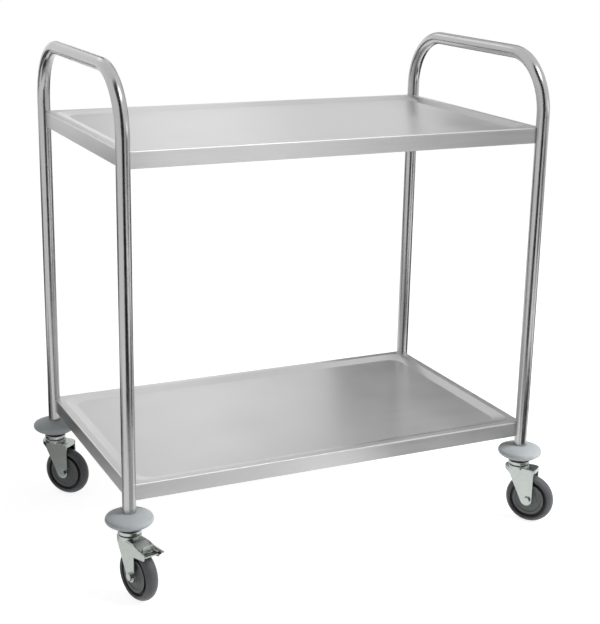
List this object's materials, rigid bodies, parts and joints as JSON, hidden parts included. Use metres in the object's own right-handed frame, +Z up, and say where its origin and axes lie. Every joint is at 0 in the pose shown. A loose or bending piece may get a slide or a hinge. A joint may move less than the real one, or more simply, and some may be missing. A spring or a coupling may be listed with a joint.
{
  "type": "serving trolley",
  "caption": "Stainless steel serving trolley: bent-tube end frames with push handles, dished trays at two heights, swivel casters with round bumpers and foot brakes.",
  "frame": {"origin": "on the floor, at the centre between the four legs; the box's bottom centre lies within 6 mm of it, since the casters point different ways", "axes": "+X along the length, from the left handle to the right one; +Y from the front to the back; +Z up"},
  "size_m": [0.9312, 0.6758, 0.956],
  "materials": {
    "polished_tube": "polished stainless tube",
    "satin_sheet": "satin stainless sheet",
    "zinc_plate": "bright zinc plate",
    "grey_bumper": "matt soft plastic",
    "black_rubber": "matt",
    "dark_plastic": "moulded",
    "white_nylon": "moulded",
    "grey_tread": "matt"
  },
  "bodies": {
    "frame": {"left_end_frame": "polished_tube", "right_end_frame": "polished_tube", "top_tray": "satin_sheet", "bottom_tray": "satin_sheet", "top_tray_welds": "satin_sheet", "bottom_tray_welds": "satin_sheet", "top_tray_stiffener": "satin_sheet", "bottom_tray_stiffener": "satin_sheet", "tube_plugs": "zinc_plate", "caster_stems": "zinc_plate", "upper_races": "zinc_plate", "dust_seals": "black_rubber", "bumper_front_left": "grey_bumper", "bumper_front_right": "grey_bumper", "bumper_back_left": "grey_bumper", "bumper_back_right": "grey_bumper"},
    "swivel_front_left": {"fork_front_left": "zinc_plate", "bearing_balls_front_left": "zinc_plate", "axle_bolt_front_left": "zinc_plate", "axle_nut_front_left": "zinc_plate", "axle_sleeve_front_left": "zinc_plate", "pedal_pin_front_left": "zinc_plate"},
    "wheel_front_left": {"wheel_core_front_left": "dark_plastic", "wheel_bush_front_left": "white_nylon", "tyre_front_left": "grey_tread"},
    "pedal_front_left": {"brake_pedal_front_left": "zinc_plate", "brake_shoe_front_left": "black_rubber"},
    "swivel_front_right": {"fork_front_right": "zinc_plate", "bearing_balls_front_right": "zinc_plate", "axle_bolt_front_right": "zinc_plate", "axle_nut_front_right": "zinc_plate", "axle_sleeve_front_right": "zinc_plate"},
    "wheel_front_right": {"wheel_core_front_right": "dark_plastic", "wheel_bush_front_right": "white_nylon", "tyre_front_right": "grey_tread"},
    "swivel_back_left": {"fork_back_left": "zinc_plate", "bearing_balls_back_left": "zinc_plate", "axle_bolt_back_left": "zinc_plate", "axle_nut_back_left": "zinc_plate", "axle_sleeve_back_left": "zinc_plate"},
    "wheel_back_left": {"wheel_core_back_left": "dark_plastic", "wheel_bush_back_left": "white_nylon", "tyre_back_left": "grey_tread"},
    "swivel_back_right": {"fork_back_right": "zinc_plate", "bearing_balls_back_right": "zinc_plate", "axle_bolt_back_right": "zinc_plate", "axle_nut_back_right": "zinc_plate", "axle_sleeve_back_right": "zinc_plate", "pedal_pin_back_right": "zinc_plate"},
    "wheel_back_right": {"wheel_core_back_right": "dark_plastic", "wheel_bush_back_right": "white_nylon", "tyre_back_right": "grey_tread"},
    "pedal_back_right": {"brake_pedal_back_right": "zinc_plate", "brake_shoe_back_right": "black_rubber"}
  },
  "joints": [
    {"name": "swivel_front_left", "type": "hinge", "parent": "frame", "child": "swivel_front_left", "pos_m": [-0.4175, -0.2485, 0.12], "axis": [0, 0, 1], "continuous": true},
    {"name": "spin_front_left", "type": "hinge", "parent": "swivel_front_left", "child": "wheel_front_left", "pos_m": [-0.41025, -0.27555, 0.05], "axis": [0.9659, 0.2588, 0], "continuous": true},
    {"name": "brake_front_left", "type": "hinge", "parent": "swivel_front_left", "child": "pedal_front_left", "pos_m": [-0.40715, -0.28714, 0.108], "axis": [0.9659, 0.2588, 0], "range_deg": [0, 8]},
    {"name": "swivel_front_right", "type": "hinge", "parent": "frame", "child": "swivel_front_right", "pos_m": [0.4175, -0.2485, 0.12], "axis": [0, 0, 1], "continuous": true},
    {"name": "spin_front_right", "type": "hinge", "parent": "swivel_front_right", "child": "wheel_front_right", "pos_m": [0.43396, -0.27115, 0.05], "axis": [0.809, 0.5878, 0], "continuous": true},
    {"name": "swivel_back_left", "type": "hinge", "parent": "frame", "child": "swivel_back_left", "pos_m": [-0.4175, 0.2485, 0.12], "axis": [0, 0, 1], "continuous": true},
    {"name": "spin_back_left", "type": "hinge", "parent": "swivel_back_left", "child": "wheel_back_left", "pos_m": [-0.39913, 0.22737, 0.05], "axis": [0.7547, 0.6561, 0], "continuous": true},
    {"name": "swivel_back_right", "type": "hinge", "parent": "frame", "child": "swivel_back_right", "pos_m": [0.4175, 0.2485, 0.12], "axis": [0, 0, 1], "continuous": true},
    {"name": "spin_back_right", "type": "hinge", "parent": "swivel_back_right", "child": "wheel_back_right", "pos_m": [0.42475, 0.27555, 0.05], "axis": [-0.9659, 0.2588, 0], "continuous": true},
    {"name": "brake_back_right", "type": "hinge", "parent": "swivel_back_right", "child": "pedal_back_right", "pos_m": [0.42785, 0.28714, 0.108], "axis": [-0.9659, 0.2588, 0], "range_deg": [0, 8]}
  ]
}
